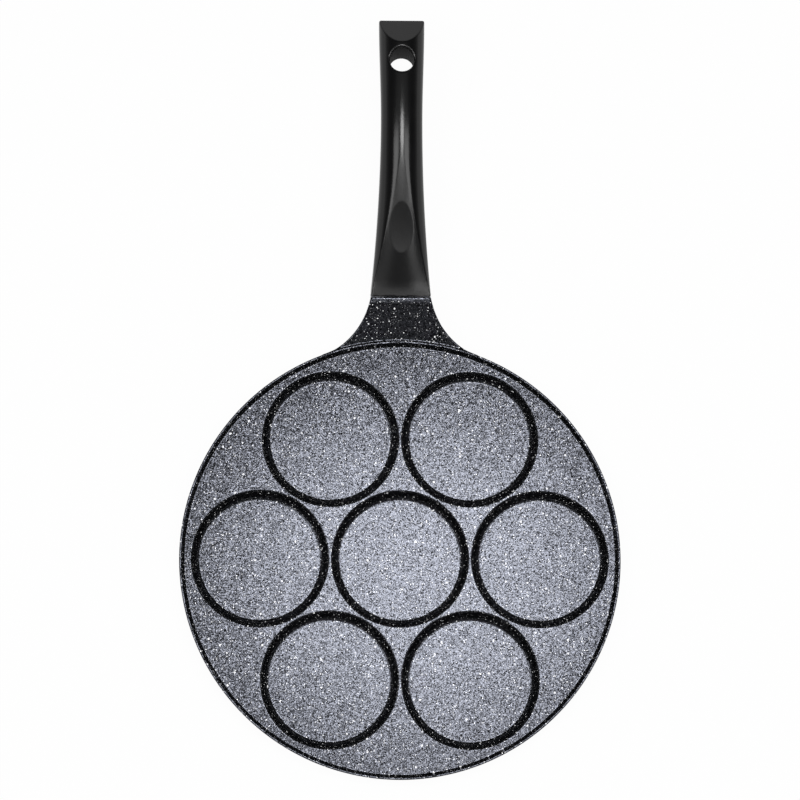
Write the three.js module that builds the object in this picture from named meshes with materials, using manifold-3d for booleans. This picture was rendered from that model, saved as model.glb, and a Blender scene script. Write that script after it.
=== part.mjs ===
// A seven-cup egg pan: a cast tray with round cups, a flared neck, and a moulded handle held by one screw.
// Millimetres, +Z up. The origin is on the surface the pan stands on, under the middle of the centre cup.
// The handle points along +Y.
import * as THREE from 'three';
import { mergeVertices } from 'three/addons/utils/BufferGeometryUtils.js';
import ManifoldModule from 'manifold-3d';

// Cups: one in the middle and a ring round it
const ringCups = 6;
const cupMouthRadius = 41.1;
const cupDraft = THREE.MathUtils.degToRad(22.5);
const cupDepth = 7.5;
const cupRidge = 2.3;
const cupLipRadius = 1.2;
const cupFloorFillet = 2.5;
const cupBase = 4.0;
const cupWall = 2.4;
const cupFootChamfer = 1.0;

// Tray and rim
const deckThickness = 3.0;
const deckMargin = 4.4;
const deckFillet = 0.7;
const rimHeight = 4.0;
const rimWall = 1.4;
const rimEdgeRadius = 0.5;
const rimDraft = 1.5;
const rimOuterDraft = 0.7;
const rimFootRadius = 2.0;

// Neck, from the rim to the shoulder that the handle meets
const neckReach = 28.0;
const neckFlareRadius = 45.7;
const neckFlareTuck = 0.9;
const neckRootDrop = 0.5;
const neckBite = 0.95;
const neckShoulderRoll = 8.0;
const neckRollSlope = THREE.MathUtils.degToRad(10);
const jointRise = 4.0;
const jointGap = 0.6;

// Tang inside the handle, and its screw
const tangLength = 42.0;
const tangWidth = 20.0;
const tangThickness = 7.0;
const tangRaise = 1.8;
const tangRootDepth = 9.4;
const socketClearance = 0.3;
const socketFloor = 2.2;
const screwStation = 27.0;
const screwDiameter = 4.0;
const screwTipShort = 1.0;
const screwTipChamfer = 0.5;
const screwHeadDiameter = 7.0;
const screwHeadHeight = 2.6;
const screwSlotLength = 3.5;
const screwSlotWidth = 1.0;
const screwSlotDepth = 1.2;
const flatWasherDiameter = 8.0;
const flatWasherThickness = 0.8;
const springWasherDiameter = 7.6;
const springWasherThickness = 1.0;
const springWasherSplit = 1.0;
const counterboreDiameter = 9.6;
const fitClearance = 0.3;

// Handle: a section swept along an arch of two arcs that starts at the neck's shoulder
const handleLength = 169.4;
const archStartSlope = THREE.MathUtils.degToRad(20);
const frontArchRadius = 600.0;
const gripArchStation = 75.0;
const gripArchRadius = 240.0;
const handleFrontWidth = 36.6;
const handleWaistWidth = 25.2;
const handleEndWidth = 27.7;
const waistStation = 106.0;
const waistTaperPower = 1.95;
const frontRise = 8.0;
const frontDrop = 9.0;
const gripRise = 10.0;
const gripDrop = 11.5;
const gripStation = 60.0;
const frontFlare = 0.6;
const frontFlareLength = 10.0;
const frontEdgeWidth = 0.5;
const frontEdgeHeight = 0.8;
const frontRoundness = 1.15;
const crownRate = 0.00018;
const crownLead = 15.0;
const crownFade = 0.5;
const domeStation = 85.0;
const domeHeight = 8.5;
const domeCrest = 0.1;
const domeWidthPower = 1.35;
const domeHeightPower = 0.6;
const domeRoundness = 2.0;
const undersideFrontRadius = 2.0;
const undersideRadius = 7.0;

// Handle features
const facetLength = 17.7;
const facetFootRise = 0.7;
const hangHoleFromEnd = 28.2;
const hangHoleDiameter = 14.6;
const thumbStation = 42.0;
const thumbLength = 31.0;
const thumbBreadth = 80.0;
const thumbDepth = 0.5;
const thumbCap = 0.6;

// Facet counts
const cupSegments = 36;
const rimSegments = 72;
const holeSegments = 28;
const cornerSegments = 5;
const crownSegments = 6;
const sweepSteps = 26;
const arcSteps = 3;
const flareSteps = 10;

// What follows from the sizes above
const cupFloorRadius = cupMouthRadius - cupDepth * Math.tan(cupDraft);
const cupPitch = 2 * cupMouthRadius + cupRidge;
const deckTop = cupBase + cupDepth;
const deckUnder = deckTop - deckThickness;
const deckRadius = cupPitch + cupMouthRadius + deckMargin;
const rimTop = deckTop + rimHeight;
const rimRadius = deckRadius + rimDraft + rimWall;
const jointY = rimRadius + neckReach;
const jointHeight = rimTop + jointRise;
const quarterTurn = Math.PI / 2;

const wasm = await ManifoldModule();
wasm.setup();

// A closed three.js geometry as a solid that can be joined and cut
function solidOf(geometry) {
  const bare = geometry.clone();
  bare.deleteAttribute('normal');
  bare.deleteAttribute('uv');
  const merged = mergeVertices(bare, 1e-5);
  const corners = merged.index.array;
  const kept = [];
  for (let i = 0; i < corners.length; i += 3) {
    const [a, b, c] = [corners[i], corners[i + 1], corners[i + 2]];
    if (a !== b && b !== c && c !== a) kept.push(a, b, c);
  }
  return new wasm.Manifold(new wasm.Mesh({
    numProp: 3,
    vertProperties: new Float32Array(merged.attributes.position.array),
    triVerts: new Uint32Array(kept),
  }));
}

// A solid back as a three.js geometry
function geometryOf(solid) {
  const mesh = solid.getMesh();
  const geometry = new THREE.BufferGeometry();
  geometry.setAttribute('position', new THREE.BufferAttribute(new Float32Array(mesh.vertProperties), 3));
  geometry.setIndex(new THREE.BufferAttribute(new Uint32Array(mesh.triVerts), 1));
  geometry.computeVertexNormals();
  return geometry;
}

// A profile of [radius, height] pairs turned round the Z axis
function turned(profile, segments) {
  const points = profile.map(([radius, height]) => new THREE.Vector2(radius, height));
  return new THREE.LatheGeometry(points, segments).rotateX(quarterTurn);
}

// Points of an arc from one angle to another, ends included
function arc(centreX, centreY, radius, from, to, steps) {
  return Array.from({ length: steps + 1 }, (_, i) => {
    const angle = from + (to - from) * i / steps;
    return [centreX + radius * Math.cos(angle), centreY + radius * Math.sin(angle)];
  });
}

// A straight-sided disc or ring round the Z axis, from one height to another
function disc(radius, low, high, segments, bore = 0) {
  const outside = [[radius, low], [radius, high]];
  const profile = bore > 0
    ? [[bore, low], ...outside, [bore, high], [bore, low]]
    : [[0, low], ...outside, [0, high]];
  return turned(profile, segments);
}

// Where the cups stand: the middle one first
const cupCentres = [[0, 0]];
for (let i = 0; i < ringCups; i++) {
  const angle = i * 2 * Math.PI / ringCups;
  cupCentres.push([cupPitch * Math.cos(angle), cupPitch * Math.sin(angle)]);
}

// The arch that the handle follows: the slope at a place, and the point there
function pathSlope(station) {
  const front = Math.min(station, gripArchStation);
  return archStartSlope - front / frontArchRadius - (station - front) / gripArchRadius;
}

function alongArc(radius, from, to) {
  const move = new THREE.Vector3(0, Math.sin(from) - Math.sin(to), Math.cos(to) - Math.cos(from));
  return move.multiplyScalar(radius);
}

function pathPoint(station) {
  const turnSlope = pathSlope(Math.min(station, gripArchStation));
  return new THREE.Vector3(0, jointY, jointHeight)
    .add(alongArc(frontArchRadius, archStartSlope, turnSlope))
    .add(alongArc(gripArchRadius, turnSlope, pathSlope(station)));
}

// A frame on the arch: X across, Y along the handle, Z square to it
function pathFrame(station) {
  const slope = pathSlope(station);
  const along = new THREE.Vector3(0, Math.cos(slope), Math.sin(slope));
  const up = new THREE.Vector3(0, -Math.sin(slope), Math.cos(slope));
  return new THREE.Matrix4()
    .makeBasis(new THREE.Vector3(1, 0, 0), along, up)
    .setPosition(pathPoint(station));
}

// Pan body

// The tray: a plate with a rim, turned in one profile
function trayGeometry() {
  const edgeZ = rimTop - rimEdgeRadius;
  const wallAngle = Math.atan2(rimDraft, rimHeight);
  const filletX = deckRadius - deckFillet * Math.tan((quarterTurn - wallAngle) / 2);
  const footX = rimRadius - rimFootRadius - rimOuterDraft;
  return turned([
    [0, deckUnder],
    ...arc(footX, deckUnder + rimFootRadius, rimFootRadius, -quarterTurn, 0, arcSteps),
    ...arc(rimRadius - rimEdgeRadius, edgeZ, rimEdgeRadius, 0, quarterTurn, arcSteps),
    ...arc(rimRadius - rimWall + rimEdgeRadius, edgeZ, rimEdgeRadius, quarterTurn, 2 * quarterTurn, arcSteps),
    ...arc(filletX, deckTop + deckFillet, deckFillet, -wallAngle, -quarterTurn, arcSteps),
    [0, deckTop],
  ], rimSegments);
}

// The hollow of one cup, a little taller than the deck so that it cuts cleanly
function cupHollowGeometry() {
  const bend = quarterTurn - cupDraft;
  const floorTangent = cupFloorFillet * Math.tan(bend / 2);
  const lipTangent = cupLipRadius * Math.tan(bend / 2);
  const floorX = cupFloorRadius - floorTangent;
  const floorArc = arc(floorX, cupBase + cupFloorFillet, cupFloorFillet, -quarterTurn, -cupDraft, arcSteps);
  const lipX = cupMouthRadius + lipTangent;
  const lipArc = arc(lipX, deckTop - cupLipRadius, cupLipRadius, Math.PI - cupDraft, quarterTurn, arcSteps);
  const [before, edge] = lipArc.slice(-2);
  const rise = (edge[1] - before[1]) / 2;
  const flared = [edge[0] + (edge[0] - before[0]) / 2, edge[1] + rise];
  return turned([
    [0, cupBase],
    ...floorArc,
    ...lipArc.slice(0, -1),
    flared,
    [flared[0], deckTop + rimHeight / 2],
    [0, deckTop + rimHeight / 2],
  ], cupSegments);
}

// The outside of one cup, from its flat foot up into the deck
function cupOutsideGeometry() {
  const top = (deckUnder + deckTop) / 2;
  const draft = Math.tan(cupDraft);
  const foot = cupFloorRadius + cupWall - draft * cupBase;
  return turned([
    [0, 0],
    [foot - cupFootChamfer, 0],
    [foot + draft * cupFootChamfer, cupFootChamfer],
    [foot + draft * top, top],
    [0, top],
  ], cupSegments);
}

// The neck seen from above: concave flares that touch the rim and meet the handle's side lines
function neckPlan() {
  const half = handleFrontWidth / 2;
  const flareX = half - neckFlareTuck + neckFlareRadius;
  const flareY = Math.sqrt((rimRadius + neckFlareRadius) ** 2 - flareX ** 2);
  const inner = rimRadius - neckBite;
  const touch = Math.atan2(flareY, flareX);
  const meet = Math.acos(1 - neckFlareTuck / neckFlareRadius);
  const right = [
    ...arc(flareX, flareY, neckFlareRadius, touch + Math.PI, meet + Math.PI, flareSteps),
    [half, Math.max(jointY, flareY) + frontDrop],
  ];
  const left = right.map(([x, y]) => [-x, y]).reverse();
  const root = arc(0, 0, inner, Math.PI - touch, touch, flareSteps);
  return [...right, ...left, ...root];
}

// The neck seen from the side: rises from the rim, rolls over at the shoulder, ends square to the handle
function neckSide() {
  const along = [Math.cos(archStartSlope), Math.sin(archStartSlope)];
  const up = [-along[1], along[0]];
  const shoulder = (rise) => [
    jointY - jointGap * along[0] + up[0] * rise,
    jointHeight - jointGap * along[1] + up[1] * rise,
  ];
  const top = shoulder(frontRise);
  const root = [rimRadius, rimTop - neckRootDrop];
  const rollCentre = [
    top[0] + neckShoulderRoll * Math.sin(neckRollSlope),
    top[1] - neckShoulderRoll * Math.cos(neckRollSlope),
  ];
  const reach = Math.hypot(rollCentre[0] - root[0], rollCentre[1] - root[1]);
  const climb = Math.atan2(rollCentre[1] - root[1], rollCentre[0] - root[0])
    + Math.asin(neckShoulderRoll / reach);
  const roll = arc(
    ...rollCentre, neckShoulderRoll, quarterTurn + neckRollSlope, quarterTurn + climb, 2 * arcSteps);
  return [
    [0, deckUnder],
    [rimRadius, deckUnder],
    shoulder(-frontDrop),
    ...roll,
    root,
    [0, root[1]],
  ];
}

function outline(points) {
  return new THREE.Shape(points.map(([x, y]) => new THREE.Vector2(x, y)));
}

function neckSolid() {
  const plan = new THREE.ExtrudeGeometry(outline(neckPlan()), {
    depth: jointHeight + frontRise + rimTop, bevelEnabled: false,
  });
  const span = rimRadius;
  const side = new THREE.ExtrudeGeometry(outline(neckSide()), { depth: 2 * span, bevelEnabled: false });
  side.translate(0, 0, -span);
  side.applyMatrix4(new THREE.Matrix4().makeBasis(
    new THREE.Vector3(0, 1, 0), new THREE.Vector3(0, 0, 1), new THREE.Vector3(1, 0, 0)));
  return solidOf(plan).intersect(solidOf(side));
}

// The tang's own frame: halfway along it, raised to leave room for the screw below
function tangFrame() {
  return pathFrame(tangLength / 2).multiply(new THREE.Matrix4().makeTranslation(0, 0, tangRaise));
}

// A bar along the tang that starts inside the neck, grown by a clearance on every side
function tangBar(clearance) {
  const length = tangLength + tangRootDepth + clearance;
  return new THREE.BoxGeometry(tangWidth + 2 * clearance, length, tangThickness + 2 * clearance)
    .translate(0, (clearance - tangRootDepth) / 2, 0)
    .applyMatrix4(tangFrame());
}

// A cutter round the screw's axis, with heights counted from the tang's middle
function onScrewAxis(geometry) {
  return geometry
    .translate(0, screwStation - tangLength / 2, 0)
    .applyMatrix4(tangFrame());
}

const seatHeight = -tangThickness / 2 - socketClearance - socketFloor;

function panBodySolid() {
  const outside = solidOf(cupOutsideGeometry());
  const hollow = solidOf(cupHollowGeometry());
  let body = solidOf(trayGeometry());
  for (const [x, y] of cupCentres) body = body.add(outside.translate([x, y, 0]));
  body = body.add(neckSolid());
  for (const [x, y] of cupCentres) body = body.subtract(hollow.translate([x, y, 0]));
  body = body.add(solidOf(tangBar(0)));
  const tapped = disc(
    screwDiameter / 2 + fitClearance, -tangThickness, tangThickness, holeSegments);
  return body.subtract(solidOf(onScrewAxis(tapped)));
}

// Handle

function smooth(t) {
  const u = THREE.MathUtils.clamp(t, 0, 1);
  return u * u * (3 - 2 * u);
}

function handleWidth(station) {
  if (station < waistStation) {
    const share = ((waistStation - station) / waistStation) ** waistTaperPower;
    return handleWaistWidth + (handleFrontWidth - handleWaistWidth) * share;
  }
  const share = smooth((station - waistStation) / (handleLength - waistStation));
  return handleWaistWidth + (handleEndWidth - handleWaistWidth) * share;
}

function handleRise(station) {
  const flare = frontFlare * Math.max(0, 1 - station / frontFlareLength) ** 2;
  return frontRise + flare + (gripRise - frontRise) * smooth(station / gripStation);
}

function handleDrop(station) {
  return frontDrop + (gripDrop - frontDrop) * smooth(station / gripStation);
}

// A power that keeps the sign: bends a round corner towards a chamfer
function bent(value, power) {
  return Math.sign(value) * Math.abs(value) ** power;
}

// The handle's section at one place: a crowned top with slanted edges at the neck, domed along the grip
function sectionAt(station) {
  const half = handleWidth(station) / 2;
  const rise = handleRise(station);
  const drop = handleDrop(station);
  const dome = Math.min(1, station / domeStation);
  const topX = frontEdgeWidth + (half - domeCrest - frontEdgeWidth) * dome ** domeWidthPower;
  const topZ = frontEdgeHeight + (domeHeight - frontEdgeHeight) * dome ** domeHeightPower;
  const topBend = 2 / (frontRoundness + (domeRoundness - frontRoundness) * dome);
  const under = undersideFrontRadius + (undersideRadius - undersideFrontRadius) * dome ** 2;
  const corners = [
    [half - topX, rise - topZ, topX, topZ, topBend],
    [topX - half, rise - topZ, topX, topZ, topBend],
    [under - half, under - drop, under, under, 1],
    [half - under, under - drop, under, under, 1],
  ];
  const [topRight, topLeft, ...underside] = corners.map(([x, z, radiusX, radiusZ, bend], corner) =>
    Array.from({ length: cornerSegments + 1 }, (_, i) => {
      const angle = quarterTurn * (corner + i / cornerSegments);
      return [x + radiusX * bent(Math.cos(angle), bend), z + radiusZ * bent(Math.sin(angle), bend)];
    }));
  const across = Array.from({ length: crownSegments - 1 }, (_, i) =>
    [(half - topX) * (1 - 2 * (i + 1) / crownSegments), rise]);
  const crown = crownRate * (domeStation * dome + crownLead) * (1 - crownFade * dome ** 4);
  const top = [...topRight, ...across, ...topLeft].map(([x, z]) => [x, z - crown * x ** 2]);
  return [...top, ...underside.flat()];
}

// Sections joined along the arch into one closed skin
function sweptGeometry() {
  const positions = [];
  const faces = [];
  const count = sectionAt(0).length;
  for (let step = 0; step <= sweepSteps; step++) {
    const station = handleLength * step / sweepSteps;
    const frame = pathFrame(station);
    for (const [x, z] of sectionAt(station)) {
      positions.push(...new THREE.Vector3(x, 0, z).applyMatrix4(frame));
    }
  }
  for (let step = 0; step < sweepSteps; step++) {
    for (let i = 0; i < count; i++) {
      const a = step * count + i;
      const b = step * count + (i + 1) % count;
      faces.push(a, a + count, b, a + count, b + count, b);
    }
  }
  const front = positions.length / 3;
  positions.push(...pathPoint(0), ...pathPoint(handleLength));
  for (let i = 0; i < count; i++) {
    const next = (i + 1) % count;
    const last = sweepSteps * count;
    faces.push(front, i, next, front + 1, last + next, last + i);
  }
  const geometry = new THREE.BufferGeometry();
  geometry.setAttribute('position', new THREE.Float32BufferAttribute(positions, 3));
  geometry.setIndex(faces);
  return geometry;
}

// A block whose underside is the slanted end facet
function facetCutter() {
  const apexStation = handleLength - facetLength;
  const apex = new THREE.Vector3(0, 0, handleRise(apexStation)).applyMatrix4(pathFrame(apexStation));
  const foot = new THREE.Vector3(0, 0, facetFootRise).applyMatrix4(pathFrame(handleLength));
  const down = foot.clone().sub(apex).normalize();
  const across = new THREE.Vector3(1, 0, 0);
  const up = across.clone().cross(down);
  const size = 4 * facetLength;
  return new THREE.BoxGeometry(size, size, size)
    .translate(0, 0, size / 2)
    .applyMatrix4(new THREE.Matrix4()
      .makeBasis(across, down, up)
      .setPosition(apex.add(foot).multiplyScalar(0.5)));
}

// An ellipsoid so broad that it scoops the crowned top straight across, which leaves an oval for the thumb
function thumbCutter() {
  const lift = Math.sqrt(1 - thumbCap ** 2);
  const tall = thumbDepth / (1 - lift);
  return new THREE.SphereGeometry(1, holeSegments, holeSegments / 2)
    .scale(thumbBreadth / 2 / thumbCap, thumbLength / 2 / thumbCap, tall)
    .translate(0, 0, handleRise(thumbStation) + tall * lift)
    .applyMatrix4(pathFrame(thumbStation));
}

function hangHoleCutter() {
  const reach = gripRise + gripDrop;
  return disc(hangHoleDiameter / 2, -reach, reach, holeSegments)
    .applyMatrix4(pathFrame(handleLength - hangHoleFromEnd));
}

function handleSolid() {
  const below = -2 * gripDrop;
  const clearanceHole = disc(screwDiameter / 2 + fitClearance, below, 0, holeSegments);
  const counterbore = disc(counterboreDiameter / 2, below, seatHeight, holeSegments);
  const cutters = [
    facetCutter(),
    thumbCutter(),
    hangHoleCutter(),
    tangBar(socketClearance),
    onScrewAxis(clearanceHole),
    onScrewAxis(counterbore),
  ];
  return cutters.reduce((solid, cutter) => solid.subtract(solidOf(cutter)), solidOf(sweptGeometry()));
}

// Screw and washers, standing on the counterbore's seat with the screw's axis as Z

const flatWasherTop = seatHeight - fitClearance;
const springWasherTop = flatWasherTop - flatWasherThickness - fitClearance;
const headTop = springWasherTop - springWasherThickness - fitClearance;

// A pan head with a cross slot, and a shank up into the tang
function screwSolid() {
  const headRadius = screwHeadDiameter / 2;
  const headLow = headTop - screwHeadHeight;
  const dome = screwHeadHeight / 2;
  const tip = tangThickness / 2 - screwTipShort;
  let screw = solidOf(turned([
    [0, headLow],
    ...arc(headRadius - dome, headLow + dome, dome, -quarterTurn, 0, arcSteps),
    [headRadius, headTop],
    [screwDiameter / 2, headTop],
    [screwDiameter / 2, tip - screwTipChamfer],
    [screwDiameter / 2 - screwTipChamfer, tip],
    [0, tip],
  ], holeSegments));
  for (const [x, y] of [[screwSlotLength, screwSlotWidth], [screwSlotWidth, screwSlotLength]]) {
    const slot = new THREE.BoxGeometry(x, y, 2 * screwSlotDepth).translate(0, 0, headLow);
    screw = screw.subtract(solidOf(slot));
  }
  return screw;
}

function flatWasherSolid() {
  return solidOf(disc(
    flatWasherDiameter / 2, flatWasherTop - flatWasherThickness, flatWasherTop, holeSegments,
    screwDiameter / 2 + fitClearance));
}

// A ring with one cut through it
function springWasherSolid() {
  const ring = solidOf(disc(
    springWasherDiameter / 2, springWasherTop - springWasherThickness, springWasherTop, holeSegments,
    screwDiameter / 2 + fitClearance));
  const cut = new THREE.BoxGeometry(springWasherDiameter, springWasherSplit, 4 * springWasherThickness)
    .translate(springWasherDiameter / 2, 0, springWasherTop);
  return ring.subtract(solidOf(cut));
}

// Materials

const coating = new THREE.MeshStandardMaterial({ color: '#4a4c53', roughness: 0.4, metalness: 0.2 });
const phenolic = new THREE.MeshStandardMaterial({ color: '#17181a', roughness: 0.38, metalness: 0 });
const steel = new THREE.MeshStandardMaterial({ color: '#b4b7ba', roughness: 0.3, metalness: 1 });

function named(name, solid, material) {
  const mesh = new THREE.Mesh(geometryOf(solid), material);
  mesh.name = name;
  return mesh;
}

// The screw stack stands in the tang's frame
const screwStack = new THREE.Group();
screwStack.applyMatrix4(tangFrame().multiply(
  new THREE.Matrix4().makeTranslation(0, screwStation - tangLength / 2, 0)));
screwStack.add(
  named('handle_screw', screwSolid(), steel),
  named('flat_washer', flatWasherSolid(), steel),
  named('spring_washer', springWasherSolid(), steel),
);

const eggPan = new THREE.Group();
eggPan.add(
  named('pan_body', panBodySolid(), coating),
  named('handle', handleSolid(), phenolic),
  screwStack,
);

export default eggPan;
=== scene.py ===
"""Looks of a seven-cup egg pan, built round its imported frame.

Shapes are worked out in millimetres in the part's own frame, with +Z up and the handle along +Y,
and become metres when their meshes are made.
"""
import itertools
import math

import bmesh
import bpy
import numpy as np
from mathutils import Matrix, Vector
from mathutils.geometry import delaunay_2d_cdt


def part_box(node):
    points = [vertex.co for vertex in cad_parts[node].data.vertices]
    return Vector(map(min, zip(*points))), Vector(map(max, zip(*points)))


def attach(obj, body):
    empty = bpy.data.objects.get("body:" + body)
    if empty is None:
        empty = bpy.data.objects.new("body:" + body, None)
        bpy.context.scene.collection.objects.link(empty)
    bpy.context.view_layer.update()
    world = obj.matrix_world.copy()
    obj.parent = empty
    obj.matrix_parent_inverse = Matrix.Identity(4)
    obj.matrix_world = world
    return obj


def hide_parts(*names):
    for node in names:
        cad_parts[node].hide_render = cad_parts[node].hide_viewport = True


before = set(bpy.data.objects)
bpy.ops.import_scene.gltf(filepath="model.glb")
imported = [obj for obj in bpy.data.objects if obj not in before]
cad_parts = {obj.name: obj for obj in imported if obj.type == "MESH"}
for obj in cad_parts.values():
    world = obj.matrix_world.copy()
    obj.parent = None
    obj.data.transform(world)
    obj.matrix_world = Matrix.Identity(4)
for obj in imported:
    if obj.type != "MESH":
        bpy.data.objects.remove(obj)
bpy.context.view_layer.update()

MM = 0.001
ROUGH_ATTRIBUTE = "rough"

# Tray, rim and cups
RIM_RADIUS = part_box("pan_body")[1].x / MM
RING_CUPS = 6
CUP_MOUTH_RADIUS = 41.1
CUP_DRAFT = math.radians(22.5)
CUP_DEPTH = 7.5
CUP_RIDGE = 2.3
CUP_LIP_RADIUS = 1.2
CUP_FLOOR_FILLET = 2.5
CUP_BASE = 4.0
CUP_WALL = 1.7
CUP_FOOT_RADIUS = 1.2
CUP_ROOT_RADIUS = 0.6
DECK_THICKNESS = 3.0
DECK_FILLET = 0.7
RIM_HEIGHT = 4.0
RIM_WALL = 1.4
RIM_EDGE = 0.5
RIM_DRAFT = 1.5
RIM_OUTER_DRAFT = 0.7
RIM_FOOT_RADIUS = 2.0

# Turned rings on each cup's foot
FOOT_RING_PITCH = 4.0
FOOT_RING_WIDTH = 0.9
FOOT_RING_DEPTH = 0.2
FOOT_RING_COUNT = 8

# Neck and tang
NECK_REACH = 28.0
NECK_FLARE_RADIUS = 45.7
NECK_FLARE_TUCK = 0.9
NECK_ROOT_DROP = 0.5
NECK_BITE = 0.95
NECK_LEDGE_BLEND = 0.3
NECK_ROLL_LENGTH = 3.6
NECK_ROLL_SLOPE = math.radians(6)
NECK_ROLL_BLEND = 1.4
NECK_TOP_EDGE = 1.4
NECK_UNDER_EDGE = 2.0
NECK_SHOULDER_EDGE = 0.4
NECK_FILLET = 1.2
RIM_CORE_SHORT = 0.2
RIM_CORE_INSET = 0.05
JOINT_RISE = 4.0
JOINT_GAP = 0.6
TANG_LENGTH = 42.0
TANG_WIDTH = 20.0
TANG_THICKNESS = 7.0
TANG_RAISE = 1.8
TANG_ROOT_DEPTH = 9.4
TANG_EDGE = 0.8
SOCKET_CLEARANCE = 0.3
SOCKET_FLOOR = 2.2

# Screw and washers
SCREW_STATION = 27.0
SCREW_RADIUS = 2.0
SCREW_PITCH = 0.7
SCREW_THREAD_DEPTH = 0.38
# Shares of a pitch: a flank's width, and where it ends from the crest's middle
SCREW_FLANK = 0.25
SCREW_FLANK_END = 0.375
SCREW_TIP_CHAMFER = 0.6
SCREW_TIP_SHORT = 1.0
SCREW_HEAD_RADIUS = 3.5
SCREW_HEAD_HEIGHT = 2.6
SCREW_RECESS_WIDTH = 1.0
SCREW_RECESS_RADIUS = 1.75
SCREW_RECESS_DEPTH = 1.4
SCREW_RECESS_TAPER = 0.12
SCREW_DOME_RADIUS = 1.8
SCREW_DOME_HEIGHT = 1.3
TAPPED_RADIUS = 2.15
CLEARANCE_RADIUS = 2.3
FLAT_WASHER_RADIUS = 4.0
FLAT_WASHER_THICKNESS = 0.8
SPRING_WASHER_RADIUS = 3.8
SPRING_WASHER_THICKNESS = 1.0
SPRING_WASHER_SPLIT = 1.0
SPRING_WASHER_LIFT = 0.25
WASHER_EDGE = 0.12
COUNTERBORE_RADIUS = 4.8
COUNTERBORE_EDGE = 0.5
FIT_CLEARANCE = 0.3

# Handle
HANDLE_LENGTH = 169.4
ARCH_START_SLOPE = math.radians(20)
FRONT_ARCH_RADIUS = 600.0
GRIP_ARCH_STATION = 75.0
GRIP_ARCH_RADIUS = 240.0
HANDLE_FRONT_WIDTH = 36.6
HANDLE_WAIST_WIDTH = 25.2
HANDLE_END_WIDTH = 27.7
WAIST_STATION = 106.0
WAIST_TAPER_POWER = 1.95
FRONT_RISE = 8.0
FRONT_DROP = 9.0
GRIP_RISE = 10.0
GRIP_DROP = 11.5
GRIP_STATION = 60.0
FRONT_FLARE = 0.6
FRONT_FLARE_LENGTH = 10.0
FRONT_EDGE_WIDTH = 0.5
FRONT_EDGE_HEIGHT = 0.8
FRONT_ROUNDNESS = 1.15
CROWN_RATE = 0.00018
CROWN_LEAD = 15.0
CROWN_FADE = 0.5
CROWN_FADE_POWER = 4
DOME_STATION = 85.0
DOME_HEIGHT = 8.5
DOME_CREST = 0.1
DOME_WIDTH_POWER = 1.35
DOME_HEIGHT_POWER = 0.6
DOME_ROUNDNESS = 2.0
UNDERSIDE_FRONT_RADIUS = 2.0
UNDERSIDE_RADIUS = 7.0
UNDERSIDE_POWER = 2
HANDLE_FRONT_EDGE = 0.6
HANDLE_END_EDGE = 1.5
FACET_LENGTH = 17.7
FACET_FOOT_RISE = 0.7
FACET_EDGE = 0.3
HANG_HOLE_FROM_END = 28.2
HANG_HOLE_RADIUS = 7.3
HANG_HOLE_CHAMFER = 1.0
HANG_HOLE_EDGE = 0.2
HANG_HOLE_CHAMFER_EDGE = 0.3
HANG_HOLE_MARGIN = 0.1
THUMB_STATION = 42.0
THUMB_LENGTH = 31.0
THUMB_DEPTH = 0.62
THUMB_CUP = 0.0022
THUMB_EDGE = 0.05

# Looks: sizes in millimetres, colours as linear red, green and blue
GRAIN = 0.5
GRAIN_TONES = [
    (0.0, (0.014, 0.0145, 0.016)),
    (0.5, (0.004, 0.0041, 0.0046)),
    (1.0, (0.0005, 0.0005, 0.0006)),
]
GRAIN_DULLNESS = [
    (0.12, (0.0,) * 3),
    (0.88, (1.0,) * 3),
]
GRAIN_ROUGHNESS = (0.11, 0.17)
FLAKE = 0.55
FLAKE_LEAN = 0.03
LUMP = 2.5
LUMP_DETAIL = 1.0
LUMP_HEIGHT = 0.006
COATING_IOR = 1.58
COATING_TINT = (0.81, 0.85, 1.0)
SPECK_SMALLEST = 0.4
SPECK_EDGE = 10.0
SPECK_ROUGHNESS = 0.4
# Layers of specks: size of their cells, share of the cells that hold one, largest radius, colour
SPECKS = [
    {"cell": 0.8, "share": 0.5, "radius": 0.25, "colour": (0.38, 0.38, 0.39)},
    {"cell": 1.6, "share": 0.5, "radius": 0.43, "colour": (0.94, 0.94, 0.94)},
    {"cell": 4.0, "share": 0.4, "radius": 0.72, "colour": (0.96, 0.96, 0.96)},
]
PHENOLIC_CLOUD = 18.0
PHENOLIC_CLOUD_DETAIL = 3.0
PHENOLIC_TONES = [
    (0.3, (0.004, 0.004, 0.0042)),
    (0.7, (0.006, 0.006, 0.0062)),
]
PHENOLIC_GRAIN = 0.7
PHENOLIC_GRAIN_HEIGHT = 0.02
PHENOLIC_ROUGHNESS = (0.13, 0.19)
BORE_ROUGHNESS = 0.74
PHENOLIC_IOR = 1.35
STEEL_CLOUD = 1.5
STEEL_CLOUD_DETAIL = 4.0
STEEL_TONES = [
    (0.35, (0.50, 0.51, 0.52)),
    (0.65, (0.66, 0.67, 0.68)),
]
STEEL_ROUGHNESS = (0.25, 0.4)
STEEL_GRAIN = 0.3
STEEL_GRAIN_HEIGHT = 0.01
NOISE_DETAIL = 2.0

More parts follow.
